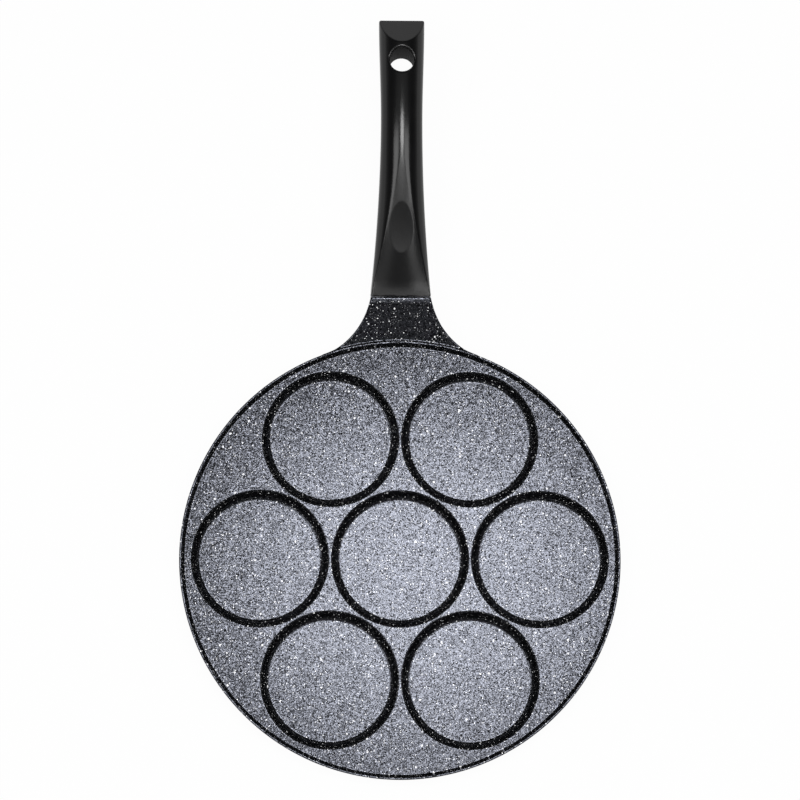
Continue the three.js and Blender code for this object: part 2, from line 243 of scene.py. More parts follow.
# Stage, light and camera: sizes and places in millimetres, turns in degrees, powers in watts
FLOOR_SIZE = 16000.0
FLOOR_WHITE = 0.85
FLOOR_GLOW_SHARE = 0.96
FLOOR_GLOSS_SHARE = 0.8
SOFTBOXES = [
    {"name": "key_softbox", "place": (78.0, 252.0, 2100.0), "size": (550.0, 460.0), "power": 11.8,
     "shape": "ELLIPSE"},
    {"name": "left_softbox", "place": (-1180.0, -186.0, 2280.0), "size": (1155.0, 1028.0), "power": 18.6},
    {"name": "right_softbox", "place": (1047.0, -86.0, 2280.0), "size": (1055.0, 828.0), "power": 13.7},
    {"name": "low_right_softbox", "place": (550.0, -770.0, 2280.0), "size": (340.0, 460.0), "power": 1.85},
    {"name": "low_left_softbox", "place": (-525.0, -905.0, 2280.0), "size": (450.0, 210.0), "power": 0.35},
    {"name": "glow_softbox", "place": (50.0, -120.0, 2150.0), "size": (500.0, 260.0), "power": 1.4},
    {"name": "middle_softbox", "place": (-41.0, -485.0, 2300.0), "size": (1123.0, 470.0), "power": 2.5},
    {"name": "front_softbox", "place": (0.0, -2000.0, 2250.0), "size": (1600.0, 1200.0), "power": 3.2},
]
# Grey of the surroundings by the height of the direction, from level to straight up
WORLD_TONES = [
    (0.0, (1.2,) * 3),
    (0.1, (0.95,) * 3),
    (0.2, (0.5,) * 3),
    (0.34, (0.2,) * 3),
    (0.5, (0.06,) * 3),
    (0.62, (0.03,) * 3),
    (0.8, (0.08,) * 3),
    (0.92, (0.4,) * 3),
    (1.0, (0.4,) * 3),
]
CAMERA_SENSOR = 36.0
CAMERA_LENS = 144.35
CAMERA_PLACE = (-44.8, -241.3, 1932.1)
CAMERA_TURN = (9.99, -1.34, 0.04)
CAMERA_REACH = 100000.0

# Mesh counts, grid steps and tolerances
CUP_SEGMENTS = 96
RIM_SEGMENTS = 288
ARC_STEPS = 8
EDGE_LOOP = 0.15
BODY_GRID = 0.5
SCREW_GRID = 0.16
NECK_GRID_MARGIN = 2
HANDLE_GRID_MARGIN = 1
SETTLE_ROUNDS = 4
PROBES_PER_STEP = 50
LEAST_SLOPE_SQUARED = 0.1
SMOOTH_ANGLE = math.radians(35)
MERGE_DISTANCE = 0.0005
PLATE_INSIDE_ONLY = 1
PLATE_TOLERANCE = 1e-6
TINY = 1e-9

# What follows from the sizes above
CUP_FLOOR_RADIUS = CUP_MOUTH_RADIUS - CUP_DEPTH * math.tan(CUP_DRAFT)
CUP_PITCH = 2 * CUP_MOUTH_RADIUS + CUP_RIDGE
DECK_TOP = CUP_BASE + CUP_DEPTH
DECK_UNDER = DECK_TOP - DECK_THICKNESS
DECK_RADIUS = RIM_RADIUS - RIM_WALL - RIM_DRAFT
RIM_TOP = DECK_TOP + RIM_HEIGHT
JOINT_Y = RIM_RADIUS + NECK_REACH
JOINT_HEIGHT = RIM_TOP + JOINT_RISE
NECK_FLARE_X = HANDLE_FRONT_WIDTH / 2 - NECK_FLARE_TUCK + NECK_FLARE_RADIUS
NECK_FLARE_Y = math.sqrt((RIM_RADIUS + NECK_FLARE_RADIUS) ** 2 - NECK_FLARE_X ** 2)
QUARTER = math.pi / 2
SEAT_HEIGHT = -TANG_THICKNESS / 2 - SOCKET_CLEARANCE - SOCKET_FLOOR
FLAT_WASHER_TOP = SEAT_HEIGHT - FIT_CLEARANCE
SPRING_WASHER_TOP = FLAT_WASHER_TOP - FLAT_WASHER_THICKNESS - FIT_CLEARANCE
HEAD_TOP = SPRING_WASHER_TOP - SPRING_WASHER_THICKNESS - FIT_CLEARANCE
CUP_CENTRES = [(0.0, 0.0)] + [
    (CUP_PITCH * math.cos(turn), CUP_PITCH * math.sin(turn))
    for turn in (i * 2 * math.pi / RING_CUPS for i in range(RING_CUPS))
]


# Meshes

def new_object(name, points, faces):
    """An object in metres from points in millimetres, smooth apart from its sharp edges."""
    mesh = bpy.data.meshes.new(name)
    mesh.from_pydata((np.asarray(points) * MM).tolist(), [], [list(map(int, face)) for face in faces])
    mesh.validate()
    piece = bpy.data.objects.new(name, mesh)
    bpy.context.scene.collection.objects.link(piece)
    smooth(piece)
    return piece


def smooth(piece):
    mesh = piece.data
    mesh.polygons.foreach_set("use_smooth", [True] * len(mesh.polygons))
    mesh.set_sharp_from_angle(angle=SMOOTH_ANGLE)
    mesh.update()


def arc(centre_x, centre_y, radius, start, end, steps=ARC_STEPS):
    """Points of an arc from one angle to another, ends included."""
    turns = (start + (end - start) * i / steps for i in range(steps + 1))
    return [(centre_x + radius * math.cos(turn), centre_y + radius * math.sin(turn)) for turn in turns]


class Skin:
    """Points and faces gathered from turned patches and flat plates."""

    def __init__(self):
        self.points = []
        self.faces = []

    def ring(self, centre, radius, height, count):
        """Points evenly round a level circle; returns their numbers."""
        first = len(self.points)
        for i in range(count):
            turn = 2 * math.pi * i / count
            x = centre[0] + radius * math.cos(turn)
            y = centre[1] + radius * math.sin(turn)
            self.points.append((x, y, height))
        return list(range(first, first + count))

    def turned(self, centre, profile, count):
        """A profile of (radius, height) pairs turned about an upright axis; returns its rings."""
        rings = [self.ring(centre, radius, height, count) for radius, height in profile]
        for inner, outer in zip(rings, rings[1:]):
            for i in range(count):
                j = (i + 1) % count
                self.faces.append((inner[i], outer[i], outer[j], inner[j]))
        return rings

    def cap(self, ring, facing_up):
        self.faces.append(ring if facing_up else ring[::-1])

    def plate(self, edge, holes, facing_up):
        """A flat plate inside one ring, with a round hole at each of the others."""
        loops = [edge, *holes]
        chosen = [index for loop in loops for index in loop]
        flat = [self.points[index][:2] for index in chosen]
        edges = []
        for loop in loops:
            first = len(edges)
            edges += [(first + i, first + (i + 1) % len(loop)) for i in range(len(loop))]
        _, _, triangles, sources, _, _ = delaunay_2d_cdt(flat, edges, [], PLATE_INSIDE_ONLY, PLATE_TOLERANCE)
        for triangle in triangles:
            corners = [chosen[sources[corner][0]] for corner in triangle]
            middle = np.mean([self.points[corner][:2] for corner in corners], axis=0)
            if any(self.inside(hole, middle) for hole in holes):
                continue
            self.faces.append(corners if facing_up else corners[::-1])

    def inside(self, ring, place):
        """Whether a place lies within a round ring, seen from above."""
        corners = np.array([self.points[index][:2] for index in ring])
        centre = corners.mean(axis=0)
        return np.linalg.norm(place - centre) < np.linalg.norm(corners[0] - centre)


# Rounded solids from distance fields, in millimetres

def smooth_max(a, b, blend):
    overlap = np.maximum(blend - np.abs(a - b), 0)
    return np.maximum(a, b) + overlap ** 2 / (4 * blend)


def smooth_min(a, b, blend):
    return -smooth_max(-a, -b, blend)


def smooth_step(share):
    share = np.clip(share, 0, 1)
    return share * share * (3 - 2 * share)


def block(edge, *sides):
    """Distance to a block with rounded edges, from (distance from the middle, half length) sides."""
    over = [np.abs(value) - half + edge for value, half in sides]
    outside = np.sqrt(sum(np.maximum(value, 0) ** 2 for value in over))
    return outside + np.minimum(np.maximum.reduce(over), 0) - edge


def rounded_corner(a, b, radius_a, radius_b, power=2.0):
    """Distance to the corner where two faces meet: a chamfer at power 1, a quarter of an ellipse at 2."""
    p = np.maximum(a / radius_a + 1, TINY)
    q = np.maximum(b / radius_b + 1, TINY)
    reach = (p ** power + q ** power) ** (1 / power)
    slope = np.hypot((p / reach) ** (power - 1) / radius_a, (q / reach) ** (power - 1) / radius_b)
    return np.where((a > -radius_a) & (b > -radius_b), (reach - 1) / slope, np.maximum(a, b))


def net(field, low, high, step):
    """A closed mesh on the zero level of a field, with one point in each grid cell that the level crosses."""
    axes = [np.arange(start, stop + step, step) for start, stop in zip(low, high)]
    value = field(*np.meshgrid(*axes, indexing="ij"))
    inside = value < 0
    cells = tuple(size - 1 for size in value.shape)
    corners = [
        inside[tuple(slice(shift, shift + size) for shift, size in zip(shifts, cells))]
        for shifts in itertools.product((0, 1), repeat=3)
    ]
    count = np.sum(corners, axis=0)
    crossed = (count > 0) & (count < len(corners))
    base = np.argwhere(crossed)
    number = np.full(cells, -1)
    number[crossed] = np.arange(len(base))
    total = np.zeros((len(base), 3))
    hits = np.zeros((len(base), 1))
    faces = []
    for axis in range(3):
        across, upward = (axis + 1) % 3, (axis + 2) % 3
        along = np.eye(3, dtype=int)[axis]
        for shift_a, shift_b in itertools.product((0, 1), repeat=2):
            start = base.copy()
            start[:, across] += shift_a
            start[:, upward] += shift_b
            near = value[tuple(start.T)]
            far = value[tuple((start + along).T)]
            cut = (near < 0) != (far < 0)
            share = np.where(cut, near / np.where(cut, near - far, 1), 0)
            total += cut[:, None] * (start + share[:, None] * along)
            hits += cut[:, None]
        front = np.moveaxis(inside, (axis, across, upward), (0, 1, 2))
        grid = np.moveaxis(number, (axis, across, upward), (0, 1, 2))
        flips = np.argwhere(front[:-1, 1:-1, 1:-1] != front[1:, 1:-1, 1:-1])
        i, j, k = flips[:, 0], flips[:, 1] + 1, flips[:, 2] + 1
        quads = np.stack([grid[i, j - 1, k - 1], grid[i, j, k - 1], grid[i, j, k], grid[i, j - 1, k]], axis=1)
        leaving = front[i, j, k]
        faces.append(np.where(leaving[:, None], quads, quads[:, ::-1]))
    points = np.array(low) + step * total / hits
    return settle(points, field, step), np.concatenate(faces)


def settle(points, field, step):
    """Moves points onto the field's zero level, along the field's slope."""
    probe = step / PROBES_PER_STEP
    for _ in range(SETTLE_ROUNDS):
        here = field(*points.T)
        slope = np.stack([
            (field(*(points + shift).T) - field(*(points - shift).T)) / (2 * probe)
            for shift in np.eye(3) * probe
        ], axis=1)
        move = slope * (here / np.maximum(np.sum(slope ** 2, axis=1), LEAST_SLOPE_SQUARED))[:, None]
        points = points - np.clip(move, -step / 2, step / 2)
    return points


# The arch that the handle follows

def path_slope(station):
    front = np.minimum(station, GRIP_ARCH_STATION)
    return ARCH_START_SLOPE - front / FRONT_ARCH_RADIUS - (station - front) / GRIP_ARCH_RADIUS


def along_path(station, height):
    """Y and Z of a place on the arch, lifted square to it."""
    turn = path_slope(np.minimum(station, GRIP_ARCH_STATION))
    slope = path_slope(station)
    y = (FRONT_ARCH_RADIUS * (math.sin(ARCH_START_SLOPE) - np.sin(turn))
         + GRIP_ARCH_RADIUS * (np.sin(turn) - np.sin(slope)))
    z = (FRONT_ARCH_RADIUS * (np.cos(turn) - math.cos(ARCH_START_SLOPE))
         + GRIP_ARCH_RADIUS * (np.cos(slope) - np.cos(turn)))
    return JOINT_Y + y - height * np.sin(slope), JOINT_HEIGHT + z + height * np.cos(slope)


def from_station(y, z, station, lift=0.0):
    """Distances along and square to the arch at a place on it."""
    slope = path_slope(station)
    origin_y, origin_z = along_path(station, lift)
    along = (y - origin_y) * np.cos(slope) + (z - origin_z) * np.sin(slope)
    up = (z - origin_z) * np.cos(slope) - (y - origin_y) * np.sin(slope)
    return along, up


def from_tang(y, z):
    return from_station(y, z, TANG_LENGTH / 2, TANG_RAISE)


def tang_field(x, y, z, clearance):
    along, up = from_tang(y, z)
    length = TANG_LENGTH + TANG_ROOT_DEPTH + clearance
    middle = (clearance - TANG_ROOT_DEPTH) / 2
    return block(
        TANG_EDGE,
        (x, TANG_WIDTH / 2 + clearance),
        (along - middle, length / 2),
        (up, TANG_THICKNESS / 2 + clearance),
    )


def screw_distance(x, y, z):
    """Distance from the screw's axis, and height over the tang's middle."""
    along, up = from_tang(y, z)
    return np.hypot(x, along - (SCREW_STATION - TANG_LENGTH / 2)), up


# Pan body

def cup_inside():
    """Profile of a cup's hollow, from its floor up to its lip."""
    bend = QUARTER - CUP_DRAFT
    floor_x = CUP_FLOOR_RADIUS - CUP_FLOOR_FILLET * math.tan(bend / 2)
    lip_x = CUP_MOUTH_RADIUS + CUP_LIP_RADIUS * math.tan(bend / 2)
    return [
        (floor_x - EDGE_LOOP, CUP_BASE),
        *arc(floor_x, CUP_BASE + CUP_FLOOR_FILLET, CUP_FLOOR_FILLET, -QUARTER, -CUP_DRAFT),
        *arc(lip_x, DECK_TOP - CUP_LIP_RADIUS, CUP_LIP_RADIUS, math.pi - CUP_DRAFT, QUARTER),
        (lip_x + EDGE_LOOP, DECK_TOP),
    ]


def cup_outside():
    """Profile of a cup's outside, from the deck's underside down to the turned rings of its foot."""
    draft = math.tan(CUP_DRAFT)
    bend = QUARTER - CUP_DRAFT
    foot = CUP_FLOOR_RADIUS + CUP_WALL - draft * CUP_BASE
    root_x = foot + draft * DECK_UNDER + CUP_ROOT_RADIUS * math.tan(bend / 2)
    foot_x = foot - CUP_FOOT_RADIUS * math.tan(bend / 2)
    profile = [
        (root_x + EDGE_LOOP, DECK_UNDER),
        *arc(root_x, DECK_UNDER - CUP_ROOT_RADIUS, CUP_ROOT_RADIUS, QUARTER, math.pi - CUP_DRAFT),
        *arc(foot_x, CUP_FOOT_RADIUS, CUP_FOOT_RADIUS, -CUP_DRAFT, -QUARTER),
        (foot_x - EDGE_LOOP, 0),
    ]
    half = FOOT_RING_WIDTH / 2
    for i in range(FOOT_RING_COUNT, 0, -1):
        middle = i * FOOT_RING_PITCH
        profile += [(middle + half, 0), (middle + half / 2, FOOT_RING_DEPTH),
                    (middle - half / 2, FOOT_RING_DEPTH), (middle - half, 0)]
    return profile


def rim_section():
    """Profile of the rim, from the deck over its top to the underside."""
    wall = math.atan2(RIM_DRAFT, RIM_HEIGHT)
    fillet_x = DECK_RADIUS - DECK_FILLET * math.tan((QUARTER - wall) / 2)
    inner_x = RIM_RADIUS - RIM_WALL + RIM_EDGE
    outer_x = RIM_RADIUS - RIM_EDGE
    foot_x = RIM_RADIUS - RIM_FOOT_RADIUS - RIM_OUTER_DRAFT
    return [
        (fillet_x - EDGE_LOOP, DECK_TOP),
        *arc(fillet_x, DECK_TOP + DECK_FILLET, DECK_FILLET, -QUARTER, -wall),
        *arc(inner_x, RIM_TOP - RIM_EDGE, RIM_EDGE, 2 * QUARTER, QUARTER),
        (inner_x + EDGE_LOOP, RIM_TOP),
        (outer_x - EDGE_LOOP, RIM_TOP),
        *arc(outer_x, RIM_TOP - RIM_EDGE, RIM_EDGE, QUARTER, 0),
        *arc(foot_x, DECK_UNDER + RIM_FOOT_RADIUS, RIM_FOOT_RADIUS, 0, -QUARTER),
        (foot_x - EDGE_LOOP, DECK_UNDER),
    ]


def tray():
    """The round tray with its rim and cups, as one closed skin."""
    skin = Skin()
    rim = skin.turned((0, 0), rim_section(), RIM_SEGMENTS)
    mouths = []
    roots = []
    for centre in CUP_CENTRES:
        inside = skin.turned(centre, cup_inside(), CUP_SEGMENTS)
        skin.cap(inside[0], True)
        mouths.append(inside[-1])
        outside = skin.turned(centre, cup_outside(), CUP_SEGMENTS)
        skin.cap(outside[-1], False)
        roots.append(outside[0])
    skin.plate(rim[0], mouths, True)
    skin.plate(rim[-1], roots, False)
    return new_object("tray", skin.points, skin.faces)


def rim_core(x, y, z):
    """Distance to a slim core inside the rim, for the neck to grow from."""
    lip = RIM_WALL / 2
    top = (RIM_RADIUS - lip, RIM_TOP - lip)
    tilt = (RIM_DRAFT + RIM_OUTER_DRAFT) / 2 / RIM_HEIGHT
    length = RIM_HEIGHT - RIM_CORE_SHORT
    reach = np.hypot(x, y)
    drop = np.clip((top[1] - z + tilt * (top[0] - reach)) / (1 + tilt ** 2), 0, length)
    return np.hypot(reach - top[0] + tilt * drop, z - top[1] + drop) - lip + RIM_CORE_INSET


def neck_plan(x, y):
    """Distance to the neck's outline from above: flares that touch the rim, then straight sides."""
    side = np.abs(x)
    half = HANDLE_FRONT_WIDTH / 2
    flare = NECK_FLARE_RADIUS - np.hypot(side - NECK_FLARE_X, y - NECK_FLARE_Y)
    touch = math.atan2(NECK_FLARE_Y, NECK_FLARE_X)
    wedge = side * math.sin(touch) - y * math.cos(touch)
    plan = np.where(y < NECK_FLARE_Y, np.minimum(flare, side - half), side - half)
    return np.maximum(plan, wedge)


def neck_knee():
    """Where the climb from the rim turns into the roll at the shoulder."""
    shoulder_y, shoulder_z = along_path(0.0, FRONT_RISE)
    return shoulder_y - NECK_ROLL_LENGTH, shoulder_z - NECK_ROLL_LENGTH * math.tan(NECK_ROLL_SLOPE)


def neck_top(y, z, from_rim):
    """Distance above the neck's top, which climbs from the rim and rolls over at the shoulder."""
    shoulder_y, shoulder_z = along_path(0.0, FRONT_RISE)
    roll = (z - shoulder_z) * math.cos(NECK_ROLL_SLOPE) - (y - shoulder_y) * math.sin(NECK_ROLL_SLOPE)
    knee_y, knee_z = neck_knee()
    root_z = RIM_TOP - NECK_ROOT_DROP
    slope = math.atan2(knee_z - root_z, knee_y - RIM_RADIUS)
    climb = (z - root_z) * math.cos(slope) - from_rim * math.sin(slope)
    climb = smooth_min(climb, z - RIM_TOP, NECK_LEDGE_BLEND)
    return smooth_max(climb, roll, NECK_ROLL_BLEND)


def neck_under(z, from_rim):
    """Distance below the neck's underside, which rises straight from the tray's to the handle's."""
    under_y, under_z = along_path(0.0, -FRONT_DROP)
    slope = math.atan2(under_z - DECK_UNDER, under_y - RIM_RADIUS)
    return from_rim * math.sin(slope) - (z - DECK_UNDER) * math.cos(slope)


def neck_field(x, y, z):
    """Distance to the neck with its tang, which ends square to the handle and has the screw's hole."""
    reach = np.hypot(x, y)
    straight = smooth_step((y - RIM_RADIUS) / (neck_knee()[0] - RIM_RADIUS))
    from_rim = reach + (y - reach) * straight - RIM_RADIUS
    along, _ = from_station(y, z, 0.0)
    body = smooth_max(neck_plan(x, y), neck_top(y, z, from_rim), NECK_TOP_EDGE)
    body = smooth_max(body, neck_under(z, from_rim), NECK_UNDER_EDGE)
    body = smooth_max(body, along + JOINT_GAP, NECK_SHOULDER_EDGE)
    body = np.maximum(body, RIM_RADIUS - NECK_BITE - reach)
    core = np.maximum(rim_core(x, y, z), NECK_FLARE_Y - NECK_FLARE_RADIUS - y)
    body = smooth_min(body, core, NECK_FILLET)
    body = np.minimum(body, tang_field(x, y, z, 0.0))
    radius, _ = screw_distance(x, y, z)
    return np.maximum(body, TAPPED_RADIUS - radius)


def neck():
    half_width = HANDLE_FRONT_WIDTH / 2 + NECK_FLARE_RADIUS
    low = (-half_width, RIM_RADIUS - NECK_FLARE_RADIUS, DECK_UNDER - NECK_GRID_MARGIN)
    far_y, far_z = along_path(TANG_LENGTH, TANG_THICKNESS)
    high = (half_width, far_y + NECK_GRID_MARGIN, far_z + NECK_GRID_MARGIN)
    points, faces = net(neck_field, low, high, BODY_GRID)
    return new_object("neck", points, faces)


def joined(piece, other):
    """Adds another closed piece's volume to a piece, and removes the other."""
    union = piece.modifiers.new("union", "BOOLEAN")
    union.operation = "UNION"
    union.solver = "MANIFOLD"
    union.object = other
    bpy.context.view_layer.update()
    whole = piece.evaluated_get(bpy.context.evaluated_depsgraph_get())
    mesh = bpy.data.meshes.new_from_object(whole)
    piece.modifiers.clear()
    piece.data = mesh
    bpy.data.objects.remove(other)
    smooth(piece)
    return piece


# Handle

def handle_half_width(station):
    front = np.clip((WAIST_STATION - station) / WAIST_STATION, 0, None) ** WAIST_TAPER_POWER
    rear = smooth_step((station - WAIST_STATION) / (HANDLE_LENGTH - WAIST_STATION))
    width = (HANDLE_WAIST_WIDTH
             + (HANDLE_FRONT_WIDTH - HANDLE_WAIST_WIDTH) * front
             + (HANDLE_END_WIDTH - HANDLE_WAIST_WIDTH) * rear)
    return width / 2


def handle_rise(station):
    flare = FRONT_FLARE * np.maximum(0, 1 - station / FRONT_FLARE_LENGTH) ** 2
    return FRONT_RISE + flare + (GRIP_RISE - FRONT_RISE) * smooth_step(station / GRIP_STATION)


def handle_drop(station):
    return FRONT_DROP + (GRIP_DROP - FRONT_DROP) * smooth_step(station / GRIP_STATION)


def handle_top(x, station, dome):
    """Height of the top: crowned across, with a scoop for the thumb that is nearly straight across."""
    rise = handle_rise(station)
    fade = 1 - CROWN_FADE * dome ** CROWN_FADE_POWER
    crown = CROWN_RATE * (DOME_STATION * dome + CROWN_LEAD) * fade * x ** 2
    reach = (station - THUMB_STATION) / (THUMB_LENGTH / 2)
    scoop = THUMB_DEPTH * (1 - reach ** 2) - THUMB_CUP * x ** 2
    return smooth_min(rise - crown, rise - scoop, THUMB_EDGE)


def facet_field(y, z):
    """Distance above the slanted plane at the handle's end."""
    apex_station = HANDLE_LENGTH - FACET_LENGTH
    apex_y, apex_z = along_path(apex_station, handle_rise(apex_station))
    foot_y, foot_z = along_path(HANDLE_LENGTH, FACET_FOOT_RISE)
    fall = math.atan2(apex_z - foot_z, foot_y - apex_y)
    return (z - apex_z) * math.cos(fall) + (y - apex_y) * math.sin(fall)


def handle_field(x, station, height):
    """Distance to the handle with its end facet and holes, for places given along the arch."""
    half = handle_half_width(station)
    side = np.abs(x) - half
    dome = np.clip(station / DOME_STATION, 0, 1)
    top_x = FRONT_EDGE_WIDTH + (half - DOME_CREST - FRONT_EDGE_WIDTH) * dome ** DOME_WIDTH_POWER
    top_z = FRONT_EDGE_HEIGHT + (DOME_HEIGHT - FRONT_EDGE_HEIGHT) * dome ** DOME_HEIGHT_POWER
    roundness = FRONT_ROUNDNESS + (DOME_ROUNDNESS - FRONT_ROUNDNESS) * dome
    widening = UNDERSIDE_RADIUS - UNDERSIDE_FRONT_RADIUS
    under = UNDERSIDE_FRONT_RADIUS + widening * dome ** UNDERSIDE_POWER
    body = np.maximum(
        rounded_corner(side, height - handle_top(x, station, dome), top_x, top_z, roundness),
        rounded_corner(side, -height - handle_drop(station), under, under),
    )
    y, z = along_path(station, height)
    body = smooth_max(body, station - HANDLE_LENGTH, HANDLE_END_EDGE)
    body = smooth_max(body, facet_field(y, z), FACET_EDGE)
    body = smooth_max(body, -station, HANDLE_FRONT_EDGE)
    bore = HANG_HOLE_RADIUS - np.hypot(x, station - HANDLE_LENGTH + HANG_HOLE_FROM_END)
    chamfer = (body + bore + HANG_HOLE_CHAMFER) / math.sqrt(2)
    body = smooth_max(body, bore, HANG_HOLE_EDGE)
    body = smooth_max(body, chamfer, HANG_HOLE_CHAMFER_EDGE)
    radius, up = screw_distance(x, y, z)
    body = np.maximum(body, -tang_field(x, y, z, SOCKET_CLEARANCE))
    body = np.maximum(body, -np.maximum(radius - CLEARANCE_RADIUS, up))
    counterbore = np.maximum(radius - COUNTERBORE_RADIUS, up - SEAT_HEIGHT)
    return smooth_max(body, -counterbore, COUNTERBORE_EDGE)


def handle():
    margin = HANDLE_GRID_MARGIN
    half_width = HANDLE_FRONT_WIDTH / 2 + margin
    low = (-half_width, -margin, -GRIP_DROP - margin)
    high = (half_width, HANDLE_LENGTH + margin, GRIP_RISE + margin)
    points, faces = net(handle_field, low, high, BODY_GRID)
    y, z = along_path(points[:, 1], points[:, 2])
    piece = new_object("handle_grip", np.stack([points[:, 0], y, z], axis=1), faces)
    reach = np.hypot(points[:, 0], points[:, 1] - HANDLE_LENGTH + HANG_HOLE_FROM_END)
    bore = np.where(reach < HANG_HOLE_RADIUS + HANG_HOLE_MARGIN, BORE_ROUGHNESS, 0.0)
    piece.data.attributes.new(ROUGH_ATTRIBUTE, "FLOAT", "POINT").data.foreach_set("value", bore)
    return piece


# Screw and washers, in the tang's frame with the screw's axis upright

def on_screw_axis(name, field, radius, low, high):
    """A piece from a field round the screw's axis, set in its place under the tang."""
    margin = 2 * SCREW_GRID
    points, faces = net(
        field, (-radius - margin, -radius - margin, low - margin),
        (radius + margin, radius + margin, high + margin), SCREW_GRID)
    slope = path_slope(TANG_LENGTH / 2)
    origin_y, origin_z = along_path(TANG_LENGTH / 2, TANG_RAISE)
    along = points[:, 1] + SCREW_STATION - TANG_LENGTH / 2
    y = origin_y + along * math.cos(slope) - points[:, 2] * math.sin(slope)
    z = origin_z + along * math.sin(slope) + points[:, 2] * math.cos(slope)
    return new_object(name, np.stack([points[:, 0], y, z], axis=1), faces)


def screw():
    """A pan head with a cross recess, and a threaded shank up into the tang."""
    tip = TANG_THICKNESS / 2 - SCREW_TIP_SHORT
    head_low = HEAD_TOP - SCREW_HEAD_HEIGHT

    def field(x, y, up):
        radius = np.hypot(x, y)
        share = (up / SCREW_PITCH - np.arctan2(y, x) / (2 * math.pi)) % 1
        crest = np.clip((SCREW_FLANK_END - np.abs(share - 0.5)) / SCREW_FLANK, 0, 1)
        thread = SCREW_RADIUS - SCREW_THREAD_DEPTH * (1 - crest)
        shank = np.maximum(radius - thread, np.maximum(up - tip, head_low - up))
        shank = np.maximum(shank, (radius - SCREW_RADIUS + up - tip + SCREW_TIP_CHAMFER) / math.sqrt(2))
        head = rounded_corner(radius - SCREW_HEAD_RADIUS, head_low - up, SCREW_DOME_RADIUS, SCREW_DOME_HEIGHT)
        head = smooth_max(head, up - HEAD_TOP, 2 * WASHER_EDGE)
        narrow = SCREW_RECESS_WIDTH / 2 - SCREW_RECESS_TAPER * (up - head_low)
        arms = np.minimum(
            np.maximum(np.abs(x) - narrow, np.abs(y) - SCREW_RECESS_RADIUS),
            np.maximum(np.abs(y) - narrow, np.abs(x) - SCREW_RECESS_RADIUS),
        )
        recess = np.maximum(arms, up - head_low - SCREW_RECESS_DEPTH)
        return smooth_max(np.minimum(shank, head), -recess, 2 * WASHER_EDGE)

    return on_screw_axis("machine_screw", field, SCREW_HEAD_RADIUS, head_low, tip)


def ring_section(radius, up, outer, top, thickness):
    middle = (outer + CLEARANCE_RADIUS) / 2
    half = (outer - CLEARANCE_RADIUS) / 2
    return block(WASHER_EDGE, (radius - middle, half), (up - top + thickness / 2, thickness / 2))


def flat_washer():
    def field(x, y, up):
        return ring_section(np.hypot(x, y), up, FLAT_WASHER_RADIUS, FLAT_WASHER_TOP, FLAT_WASHER_THICKNESS)

    low = FLAT_WASHER_TOP - FLAT_WASHER_THICKNESS
    return on_screw_axis("plain_washer", field, FLAT_WASHER_RADIUS, low, FLAT_WASHER_TOP)


def spring_washer():
    """A ring with one cut, whose ends stand a little apart."""
    def field(x, y, up):
        lifted = up - SPRING_WASHER_LIFT * np.arctan2(y, -x) / (2 * math.pi)
        ring = ring_section(
            np.hypot(x, y), lifted, SPRING_WASHER_RADIUS, SPRING_WASHER_TOP, SPRING_WASHER_THICKNESS)
        cut = np.maximum(np.abs(y) - SPRING_WASHER_SPLIT / 2, -x)
        return smooth_max(ring, -cut, 2 * WASHER_EDGE)

    low = SPRING_WASHER_TOP - SPRING_WASHER_THICKNESS
    return on_screw_axis("lock_washer", field, SPRING_WASHER_RADIUS, low, SPRING_WASHER_TOP)


# Materials

class Nodes:
    """A node tree, with short calls to add nodes to it."""

    # Where a node that mixes colours has its share, its two colours and its result
    MIX_INPUTS = (0, 6, 7)
    MIX_OUTPUT = 2

    def __init__(self, tree):
        self.tree = tree

    def add(self, kind, settings=None, **inputs):
        node = self.tree.nodes.new("ShaderNode" + kind)
        for name, value in (settings or {}).items():
            setattr(node, name, value)
        for name, value in inputs.items():
            self.join(value, node.inputs[name.replace("_", " ")])
        return node

    def join(self, value, socket):
        if isinstance(value, bpy.types.NodeSocket):
            self.tree.links.new(value, socket)
        else:
            socket.default_value = value

    def operate(self, kind, operation, values):
        node = self.add(kind, {"operation": operation})
        for value, socket in zip(values, node.inputs):
            self.join(value, socket)
        return node.outputs[0]

    def number(self, operation, *values):
        return self.operate("Math", operation, values)

    def vector(self, operation, *values):
        return self.operate("VectorMath", operation, values)

    def ramp(self, value, stops):
        """A colour for a number, from (position, colour) stops."""
        node = self.add("ValToRGB", Fac=value)
        elements = node.color_ramp.elements
        while len(elements) < len(stops):
            elements.new(0.5)
        for element, (position, colour) in zip(elements, stops):
            element.position = position
            element.color = (*colour, 1)
        return node.outputs["Color"]

    def mix(self, share, a, b):
        node = self.add("Mix", {"data_type": "RGBA"})
        for value, index in zip((share, a, b), self.MIX_INPUTS):
            self.join((*value, 1) if isinstance(value, tuple) else value, node.inputs[index])
        return node.outputs[self.MIX_OUTPUT]

    def span(self, value, low, high):
        """A number from 0 to 1 spread over a range."""
        node = self.add("MapRange", Value=value, To_Min=low, To_Max=high)
        return node.outputs[0]


